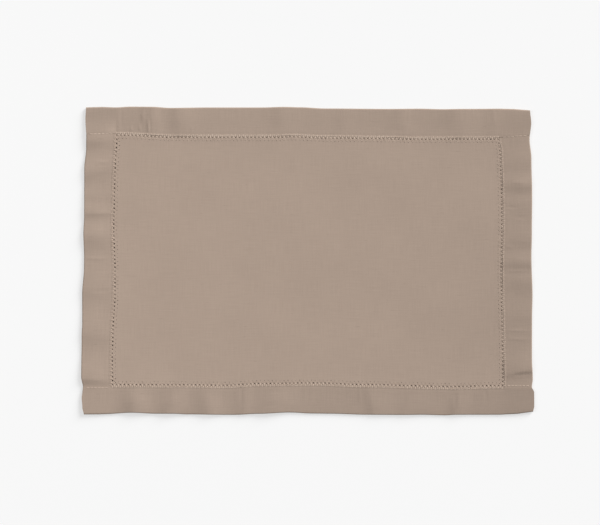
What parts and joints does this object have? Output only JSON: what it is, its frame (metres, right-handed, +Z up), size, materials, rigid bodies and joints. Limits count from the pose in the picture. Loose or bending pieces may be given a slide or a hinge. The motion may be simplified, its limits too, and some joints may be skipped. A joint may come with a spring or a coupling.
{
  "type": "placemat",
  "caption": "Rectangular linen table mat lying flat, with wide turned hems lapped at the corners and a row of hemstitching along their inner edge.",
  "frame": {"origin": "under the middle of the mat, on the surface that it lies on", "axes": "+X along the long side, +Y across the mat along the short side, +Z up, out of the side with the turned hems"},
  "size_m": [0.4874, 0.3322, 0.0034],
  "materials": {
    "linen": "matte plain-weave linen, taupe"
  },
  "bodies": {
    "root": {"placemat_cloth": "linen"}
  },
  "joints": []
}
